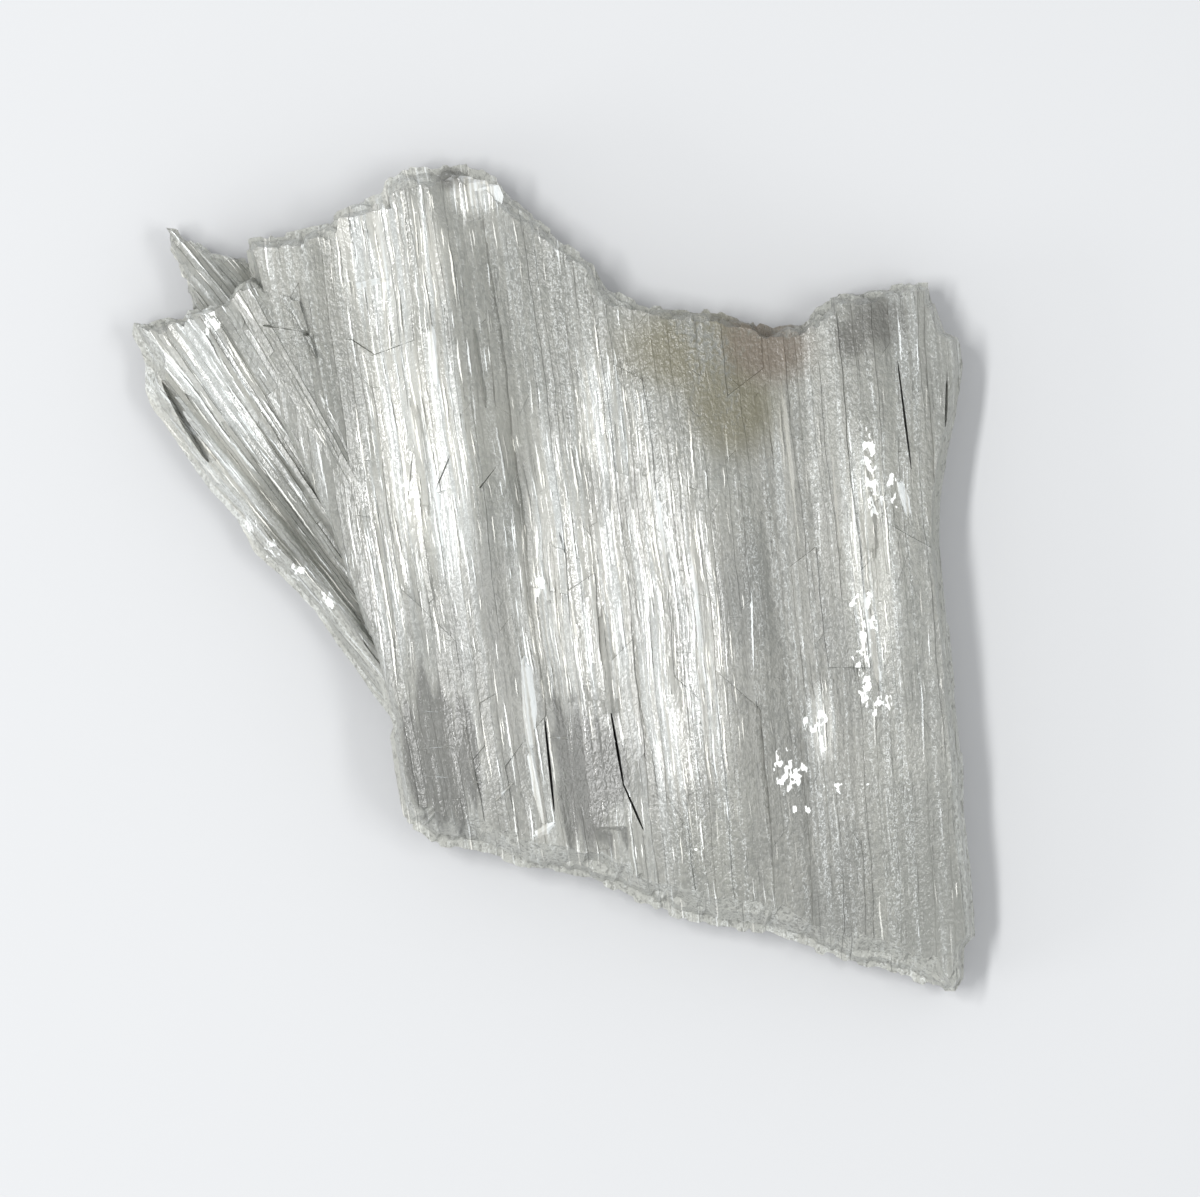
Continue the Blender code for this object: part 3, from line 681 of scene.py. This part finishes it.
def mark_fibres(obj):
    """Stores on each corner where it is across and along its bundle, and on each face what kind it is."""
    mesh = obj.data
    slots = read(mesh.polygons, "material_index", kind=int)
    corner_slots = np.repeat(slots, read(mesh.polygons, "loop_total", kind=int))
    vertices = read(mesh.loops, "vertex_index", kind=int)
    places = read(mesh.vertices, "co", 3)[vertices] / MM
    fibre = np.zeros((len(mesh.loops), 3))
    fibre[:, 2] = places[:, 2]
    owner = np.where(corner_slots >= LOOSE, 0, corner_slots % BROKEN)
    for number, bundle in enumerate(BUNDLES):
        here = owner == number
        width, length = patch_size(bundle.corners)
        across, along = patch_shares(bundle.corners, places[here, :2])
        fibre[here, 0] = across * width + APART * number
        fibre[here, 1] = along * length
    layer = mesh.attributes.new("fibre", "FLOAT_VECTOR", "CORNER")
    layer.data.foreach_set("vector", fibre.ravel())
    for name, found in zip(KINDS, ((slots >= BROKEN) & (slots < LOOSE), slots == LOOSE, slots == CUT)):
        store(mesh, name, found, "FACE")
    mesh.polygons.foreach_set("material_index", np.zeros(len(slots), int))
    mesh.materials.clear()


def mark_zones(obj):
    """Stores on each point how far it is in each zone, and the broadest patterns of the body."""
    mesh = obj.data
    places = read(mesh.vertices, "co", 3) / MM
    flat = np.column_stack(patch_shares(SLAB.corners, places[:, :2])) * patch_size(SLAB.corners)
    for name in ZONES:
        store(mesh, name, zone_share(name, flat), "POINT")
    spots = {"broad": np.column_stack([flat, places[:, 2]]), "cloud": places}
    for name, (often, octaves) in BROADEST.items():
        # Each octave is twice as fine as the last one, and half as strong.
        values = [
            0.5 + 0.5 * noise.fractal(Vector(spot), 1.0, 2.0, octaves, noise_basis="PERLIN_ORIGINAL")
            for spot in (spots[name] * often).tolist()
        ]
        store(mesh, name, values, "POINT")


# The bands of the map for baked textures: the axis and sense that a face looks along, and the band's low and
# high side. Only broken edges have bands for the sides.
BANDS = {
    (2, 1): (0.6, 1.0), (2, -1): (0.3, 0.6), (0, 1): (0.225, 0.3), (0, -1): (0.15, 0.225),
    (1, 1): (0.075, 0.15), (1, -1): (0.0, 0.075),
}
BAND_EDGE = 0.004       # the empty rim inside each band
LEVEL = 0.35            # a broken face whose normal has more than this of Z is mapped from above or below


def add_bake_map(obj):
    """A flat map with the face in one band, the back in the next, and the broken edges below them."""
    mesh = obj.data
    normals = read(mesh.polygons, "normal", 3)
    broken = read(mesh.attributes["broken"].data, "value")
    places = read(mesh.vertices, "co", 3)
    shares = (places - places.min(axis=0)) / np.ptp(places, axis=0)
    vertices = read(mesh.loops, "vertex_index", kind=int)
    axis = np.abs(normals[:, :2]).argmax(axis=1)
    axis[(broken == 0) | (np.abs(normals[:, 2]) > LEVEL)] = 2
    sense = np.where(np.take_along_axis(normals, axis[:, None], 1)[:, 0] < 0, -1, 1)
    axis, sense = np.repeat(axis, 3), np.repeat(sense, 3)
    spots = np.empty((len(mesh.loops), 2))
    for (way, sign), (low, high) in BANDS.items():
        here = (axis == way) & (sense == sign)
        across = shares[vertices[here], 1 if way == 0 else 0]
        up = shares[vertices[here], 1 if way == 2 else 2]
        spots[here, 0] = BAND_EDGE + (1 - 2 * BAND_EDGE) * across
        spots[here, 1] = low + BAND_EDGE + (high - low - 2 * BAND_EDGE) * up
    layer = mesh.uv_layers.new(name="OFBake")
    layer.uv.foreach_set("vector", spots.astype(np.float32).ravel())


# ---------------------------------------------------------------- materials

class Nodes:
    """Short calls for the nodes of one material."""

    def __init__(self, material):
        material.use_nodes = True
        self.tree = material.node_tree
        self.shader = self.tree.nodes["Principled BSDF"]
        self.output = self.tree.nodes["Material Output"]

    def add(self, kind, **settings):
        node = self.tree.nodes.new(kind)
        for key, value in settings.items():
            setattr(node, key, value)
        return node

    def feed(self, socket, value):
        if isinstance(value, bpy.types.NodeSocket):
            self.tree.links.new(value, socket)
        else:
            socket.default_value = value

    def math(self, operation, *values, clamp=False):
        node = self.add("ShaderNodeMath", operation=operation, use_clamp=clamp)
        for socket, value in zip(node.inputs, values):
            self.feed(socket, value)
        return node.outputs[0]

    def attribute(self, name, output):
        return self.add("ShaderNodeAttribute", attribute_name=name).outputs[output]

    def plus(self, a, b, clamp=False):
        return self.math("ADD", a, b, clamp=clamp)

    def minus(self, a, b, clamp=False):
        return self.math("SUBTRACT", a, b, clamp=clamp)

    def times(self, a, b):
        return self.math("MULTIPLY", a, b)

    def larger(self, a, b):
        return self.math("MAXIMUM", a, b)

    def without(self, value, taken):
        """What is left of the value where this share of it is taken away."""
        return self.times(value, self.minus(1.0, taken))

    def blend(self, patterns, recipe):
        """The patterns by their weights, and the number that they are added to."""
        weights, total = recipe
        for name, weight in weights.items():
            total = self.math("MULTIPLY_ADD", getattr(patterns, name), weight, total)
        return total

    def vector(self, operation, *values):
        node = self.add("ShaderNodeVectorMath", operation=operation)
        for socket, value in zip(node.inputs, values):
            self.feed(socket, value)
        return node.outputs[0]

    def parts(self, vector):
        """Its X, Y and Z."""
        node = self.add("ShaderNodeSeparateXYZ")
        self.feed(node.inputs[0], vector)
        return node.outputs

    def noise(self, place, pattern):
        node = self.add("ShaderNodeTexNoise")
        self.feed(node.inputs["Vector"], self.vector("MULTIPLY_ADD", place, pattern.often, pattern.start))
        node.inputs["Scale"].default_value = 1.0
        node.inputs["Detail"].default_value = pattern.detail
        node.inputs["Roughness"].default_value = pattern.rough
        return node.outputs["Fac"]

    def ramp(self, value, low, high, start=0.0, end=1.0):
        """From start where value is at low to end where it is at high, smoothly."""
        node = self.add("ShaderNodeMapRange", interpolation_type="SMOOTHSTEP")
        for socket, number in zip(node.inputs, (value, low, high, start, end)):
            self.feed(socket, number)
        return node.outputs["Result"]

    def line(self, value, level, width):
        """1 where the value is at the level, fading to 0 at width from it."""
        return self.ramp(self.math("ABSOLUTE", self.minus(value, level)), width, 0.0)

    def mix(self, share, a, b):
        node = self.add("ShaderNodeMix", data_type="RGBA")
        self.feed(node.inputs["Factor"], share)
        self.feed(node.inputs["A"], a)
        self.feed(node.inputs["B"], b)
        return node.outputs["Result"]


# The body, from its clear to its shaded parts; painted shade for the windows, cracks, dark lines and
# pits; and along broken edges.
CLEAR = (0.44, 0.44, 0.395, 1)
SHADE = (0.33, 0.335, 0.305, 1)
PAINTED_SHADE = (0.16, 0.16, 0.145, 1)
BREAK = (0.65, 0.655, 0.60, 1)

# The milky veils, from warm to cool, and the painted glints.
WARM = (0.90, 0.885, 0.81, 1)
COOL = (0.84, 0.87, 0.86, 1)
GLEAM = (0.98, 1.0, 0.97, 1)

# Each stain's zone, with its colour and its strength.
STAINS = {
    "olive": ((0.25, 0.232, 0.155, 1), 0.9),
    "mauve": ((0.25, 0.205, 0.16, 1), 0.85),
    "smudge": ((0.13, 0.125, 0.11, 1), 0.7),
}

# A noise: how often it repeats in a millimetre each way, where it starts, its octaves and their strength.
Pattern = namedtuple("Pattern", "often start detail rough")
GRAIN = Pattern((3.2, 2.0, 3.2), (4, 4, 4), 2.0, 0.65)
STRANDS = Pattern((1.9, 0.035, 0.3), (7, 3, 1), 1.0, 0.6)
BLOBS = Pattern((1.6, 1.0, 1.6), (2, 8, 5), 2.0, 0.6)

# Thin lines along the blades, one in each cell: the cell's width and length, where the cells start, half the
# width of a line, and how strong its white and dark ones are. The white ones are partly the fibres and
# partly painted highlights on their ridges; the dark ones are painted shadows beside them.
Striae = namedtuple("Striae", "cell start half white dark")
LONG_STRIAE = Striae((0.85, 8.0), (3, 7, 0), 0.075, 1.0, 1.0)
SHORT_STRIAE = Striae((0.5, 3.4), (11, 5, 0), 0.05, 0.8, 0.7)
REACH = (0.34, 0.16)    # half a line's length as a share of its cell: what chance adds, and the least
ASIDE = 1.7             # how far beside each white line its dark one runs, in half widths
WHITE_FADE, DARK_FADE = (1.15, 0.7), (0.95, 0.3)    # where they fade, from and to, in half widths
WHITE_KEPT, DARK_KEPT = (0.45, 0.75), (0.35, 0.8)   # the chances between which they come up

# What each look is made of: patterns by their weights, and the number that they are added to.
WANDER = {"cloud": 0.5, "grit": 0.16}, 0.0
# Silky zones get painted sheen: more white lines and whiter streaks there.
MORE_STRIAE = {"silk_and_sheen": 0.5, "frost": -0.3}, -0.1
STREAKS = {"broad": 0.5, "silk_and_sheen": 0.36, "frost": -0.08, "strands": 0.3}, 0.0
CRISPNESS = {"rugged": 0.3}, 0.35
PANES = {"window": 1.0, "strands": 1.2}, -0.6
GLINTS = {"blobs": 1.0, "glint": 0.3}, 0.0
MOTTLE = {"cloud": 0.4, "grit": 0.6}, 0.0
PATCHES = {"cloud": 0.5, "grit": 0.5}, 0.0
ROUGHNESS = {"silk_and_sheen": -0.12, "smooth": -0.16, "broken": 0.15}, 0.30
FIBRE_RELIEF = {"silk_and_sheen": 1.0}, 0.6
GRIT_RELIEF = {"broken": 1.5, "frost": 0.8}, 0.75

# Where a pattern starts and ends to show, and where it isn't from 0 to 1, how strong it gets there.
STREAKED, CRINKLED, PANED, GLINTING = (0.30, 0.95, 0, 0.45), (0.42, 0.62), (0.25, 0.75), (0.79, 0.84)
SHADED, COOLER, MILK = (0.35, 0.65), (0.4, 0.6), (0.4, 0.6, 0.5, 0.9)
# The pits of broken edges are darkened with painted shade.
PIT_SHADE, PATCHED = (0.47, 0.36, 0, 0.45), (0.2, 0.42)
CRINKLE = (0.52, 0.035)     # the grit's level along a crinkle, and how wide that fades
RUGGED = 2.0                # how much more rugged broken edges are than frost
DARK_TAKES, PANE_TAKES, BREAK_TAKES = 0.6, 0.8, 0.3     # the share that these take away from the veil
# The dark lines and the windows darken the body with painted shade.
DARK_SHADE, PANE_SHADE = 0.6, 0.75                      # and how far they darken the body

IOR = 1.52
TRANSMISSION = (0.08, 0.4)      # where it is milkiest, and what the clearest has more
ABSORPTION = ((0.80, 0.88, 0.80, 1), 60.0)      # its colour and its density per metre
BUMP = 0.08             # how high the finest relief would be


def striae(n, place, kind, more):
    """Thin pointed lines along the blades, one in each cell: how white and how dark it is here. The white is
    partly the fibres and partly painted highlight, and the dark is painted shadow.
    """
    spot = n.vector("MULTIPLY_ADD", place, (1 / kind.cell[0], 1 / kind.cell[1], 0), kind.start)
    cells = n.add("ShaderNodeTexVoronoi", voronoi_dimensions="2D")
    n.feed(cells.inputs["Vector"], spot)
    cells.inputs["Scale"].default_value = 1.0
    aside, up, _ = n.parts(n.vector("SUBTRACT", spot, cells.outputs["Position"]))
    long_chance, white_chance, dark_chance = n.parts(cells.outputs["Color"])
    taper = n.math("POWER", n.math("DIVIDE", up, n.math("MULTIPLY_ADD", long_chance, *REACH)), 2.0)
    half = kind.half / kind.cell[0]
    white = n.math("DIVIDE", n.math("ABSOLUTE", aside), half)
    white = n.ramp(n.plus(white, taper), *WHITE_FADE)
    white = n.times(white, n.ramp(n.plus(white_chance, more), *WHITE_KEPT, 0, kind.white))
    dark = n.math("DIVIDE", n.math("ABSOLUTE", n.minus(aside, ASIDE * half)), half)
    dark = n.ramp(n.plus(dark, taper), *DARK_FADE)
    return white, n.times(dark, n.ramp(dark_chance, *DARK_KEPT, 0, kind.dark))


def patterns(n):
    """What the looks depend on, by name: the kinds of face, the zones, the noises and the striae."""
    p = SimpleNamespace(**{name: n.attribute(name, "Fac") for name in (*KINDS, *ZONES, *BROADEST)})
    place = n.vector("MULTIPLY_ADD", n.add("ShaderNodeTexCoord").outputs["Object"], (1 / MM,) * 3, (0, 0, 0))
    p.grit, p.blobs = n.noise(place, GRAIN), n.noise(place, BLOBS)
    # The blades wander a little from side to side.
    aside = n.add("ShaderNodeCombineXYZ")
    n.feed(aside.inputs["X"], n.blend(p, WANDER))
    wavy = n.vector("ADD", n.attribute("fibre", "Vector"), aside.outputs[0])
    p.strands = n.noise(wavy, STRANDS)
    more = n.blend(p, MORE_STRIAE)
    # White lines, partly painted highlights, each with a painted shadow beside it.
    long_white, long_dark = striae(n, wavy, LONG_STRIAE, more)
    short_white, short_dark = striae(n, wavy, SHORT_STRIAE, more)
    p.white, p.dark = n.larger(long_white, short_white), n.larger(long_dark, short_dark)
    # The windows: clearer, with their body darkened by painted shade.
    p.pane = n.ramp(n.blend(p, PANES), *PANED)
    # Painted glints: white spots in the glint zones, for chips that catch the light.
    p.gleam = n.ramp(n.blend(p, GLINTS), *GLINTING)
    p.rugged = n.larger(p.frost, n.times(p.broken, RUGGED))
    p.smooth = n.larger(p.white, n.larger(p.loose, p.gleam))
    return p


def milk_and_highlights(n, p):
    """How white the veils make it, and where highlights are painted. White veils lie in streaks, with the
    clearer, darker inside between them. The white lines are partly painted highlights, the sheen of the silky
    zones and the glints are painted highlights, and the dark lines take from it as painted shadow.
    """
    veil_and_highlights = n.ramp(n.blend(p, STREAKS), *STREAKED)
    crinkles = n.times(n.line(p.grit, *CRINKLE), n.ramp(p.strands, *CRINKLED))
    veil_and_highlights = n.plus(veil_and_highlights, n.times(crinkles, n.blend(p, CRISPNESS)))
    veil_and_highlights = n.plus(veil_and_highlights, p.white, True)
    veil_and_highlights = n.minus(veil_and_highlights, n.times(p.dark, DARK_TAKES), True)
    veil_and_highlights = n.without(veil_and_highlights, n.times(p.pane, PANE_TAKES))
    veil_and_highlights = n.without(veil_and_highlights, n.larger(n.times(p.broken, BREAK_TAKES), p.cut))
    return n.larger(n.larger(veil_and_highlights, n.times(p.loose, n.ramp(p.strands, *MILK))), p.gleam)


def colours(n, p, veil_and_highlights):
    """The body's colour, darkened with painted shade, with the veils, the painted highlights, the glints and
    the stains over it.
    """
    body = n.mix(n.ramp(n.blend(p, MOTTLE), *SHADED), SHADE, CLEAR)
    body = n.mix(p.broken, body, BREAK)
    # Painted shade: the windows, the dark lines, the pits of broken edges and the cracks darken the body.
    deep = n.larger(n.times(p.pane, PANE_SHADE), n.times(p.dark, DARK_SHADE))
    deep = n.larger(deep, n.times(n.ramp(p.grit, *PIT_SHADE), p.broken))
    body = n.mix(n.larger(deep, p.cut), body, PAINTED_SHADE)
    colour = n.mix(veil_and_highlights, body, n.mix(n.ramp(p.strands, *COOLER), WARM, COOL))
    colour = n.mix(p.gleam, colour, GLEAM)
    patches = n.ramp(n.blend(p, PATCHES), *PATCHED)
    for name, (tint, strength) in STAINS.items():
        stain = n.times(getattr(p, name), patches)
        colour = n.mix(n.times(stain, strength), colour, tint)
    return colour


def probertite_material():
    material = bpy.data.materials.new("probertite")
    n = Nodes(material)
    p = patterns(n)
    veil_and_highlights = milk_and_highlights(n, p)
    shader = n.shader.inputs
    n.feed(shader["Base Color"], colours(n, p, veil_and_highlights))
    least, more = TRANSMISSION
    n.feed(shader["Transmission Weight"], n.math("MULTIPLY_ADD", n.minus(1.0, veil_and_highlights), more, least))
    n.feed(shader["Roughness"], n.blend(p, ROUGHNESS))
    shader["IOR"].default_value = IOR

    fibres = n.times(p.strands, n.blend(p, FIBRE_RELIEF))
    bump = n.add("ShaderNodeBump")
    bump.inputs["Strength"].default_value = 1.0
    bump.inputs["Distance"].default_value = BUMP * MM
    n.feed(bump.inputs["Height"], n.plus(fibres, n.times(p.grit, n.blend(p, GRIT_RELIEF))))
    n.feed(shader["Normal"], bump.outputs["Normal"])

    absorption = n.add("ShaderNodeVolumeAbsorption")
    absorption.inputs["Color"].default_value, absorption.inputs["Density"].default_value = ABSORPTION
    n.feed(n.output.inputs["Volume"], absorption.outputs["Volume"])
    return material


def floor_material():
    material = bpy.data.materials.new("floor")
    shader = Nodes(material).shader.inputs
    shader["Base Color"].default_value = FLOOR_COLOUR
    shader["Roughness"].default_value = FLOOR_ROUGHNESS
    return material


# ---------------------------------------------------------------- the scene

FRAME_PX = (1200, 1197)         # the picture
CENTRE_PX = (553.5, 576.5)      # where the middle of the piece is in it
PX_MM = 0.0825                  # what one of its pixels measures on the piece
CAMERA_HEIGHT = 700.0
CAMERA_LEVEL = 6.0              # the height at which PX_MM holds
SENSOR = 36.0
SEEN = 10000.0                  # how far the camera sees

FLOOR_SIZE = 6000.0
FLOOR_COLOUR, FLOOR_ROUGHNESS = (0.52, 0.525, 0.53, 1), 0.7
SKY, SKY_STRENGTH = (0.95, 0.97, 1.0, 1), 0.74

# Each light's azimuth and elevation, its distance and size, and its power in watts.
LIGHTS = {
    "key": (173, 71, 700, (300, 50), 3.2),
    "fill": (-8, 66, 700, (300, 90), 1.2),
    "side": (200, 25, 500, (200, 120), 0.4),
}

# How many times light bounces, in all and by kind. More would hardly show.
BOUNCES = {"max_bounces": 4, "diffuse_bounces": 1, "glossy_bounces": 1, "transmission_bounces": 3}
SHARP = 16              # the least angle of an edge that isn't shaded smooth, in degrees


def add_camera():
    data = bpy.data.cameras.new("camera")
    data.sensor_width = SENSOR
    data.lens = SENSOR * (CAMERA_HEIGHT - CAMERA_LEVEL) / (FRAME_PX[0] * PX_MM)
    data.clip_end = SEEN * MM
    camera = bpy.data.objects.new("camera", data)
    x = (FRAME_PX[0] / 2 - CENTRE_PX[0]) * PX_MM
    y = (CENTRE_PX[1] - FRAME_PX[1] / 2) * PX_MM
    camera.location = (x * MM, y * MM, CAMERA_HEIGHT * MM)
    bpy.context.collection.objects.link(camera)
    bpy.context.scene.camera = camera


def add_light(name, azimuth, elevation, distance, size, power):
    """An area light that looks at the piece. Azimuth 0 is from +X, and 90 from +Y."""
    data = bpy.data.lights.new(name, "AREA")
    data.shape = "RECTANGLE"
    data.size, data.size_y = size[0] * MM, size[1] * MM
    data.energy = power
    light = bpy.data.objects.new(name, data)
    a, e = math.radians(azimuth), math.radians(elevation)
    direction = np.array([math.cos(a) * math.cos(e), math.sin(a) * math.cos(e), math.sin(e)])
    light.location = direction * distance * MM
    light.rotation_euler = (math.pi / 2 - e, 0, a + math.pi / 2)
    bpy.context.collection.objects.link(light)


def add_floor():
    bpy.ops.mesh.primitive_plane_add(size=FLOOR_SIZE * MM)
    floor = bpy.context.object
    floor.name = "floor"
    floor.data.materials.append(floor_material())


def add_world():
    world = bpy.data.worlds.new("studio")
    world.use_nodes = True
    background = world.node_tree.nodes["Background"]
    background.inputs["Color"].default_value = SKY
    background.inputs["Strength"].default_value = SKY_STRENGTH
    bpy.context.scene.world = world


def add_crystal():
    crystal = build(0)
    crystal.name = "probertite_blades"
    applied(crystal, [build(1), build(2)], "UNION")
    cutters = []
    for sliver in CRACKS + [Sliver("fine_crack", *row, FINE_CRACK_LEAN) for row in FINE_CRACKS]:
        owner = OWNERS.get(sliver.name, 0)
        # The listed cracks get the slot that is painted dark with shade.
        slot = CUT if sliver.name in SHADED_CRACKS else owner
        cutters.append(sliver_solid(sliver, BUNDLES[owner], -1, slot))
    applied(crystal, cutters, "DIFFERENCE")
    loose = LOOSE_BLADES + [Sliver("fine_blade", *row, FINE_BLADE_LEAN) for row in FINE_BLADES]
    blades_on = [sliver_solid(sliver, SLAB, 1, LOOSE if sliver.name in MILKY else 0) for sliver in loose]
    applied(crystal, blades_on, "UNION")
    split(crystal.data)
    mark_fibres(crystal)
    mark_zones(crystal)
    add_bake_map(crystal)
    crystal.data.materials.append(probertite_material())
    crystal.data.shade_smooth()
    crystal.data.set_sharp_from_angle(angle=math.radians(SHARP))
    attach(crystal, "root")
    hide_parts("probertite_crystals")
    return crystal


add_world()
add_floor()
add_camera()
bpy.context.scene.view_settings.view_transform = "Standard"
for name, count in BOUNCES.items():
    setattr(bpy.context.scene.cycles, name, count)
for name, settings in LIGHTS.items():
    add_light(name, *settings)
crystal = add_crystal()
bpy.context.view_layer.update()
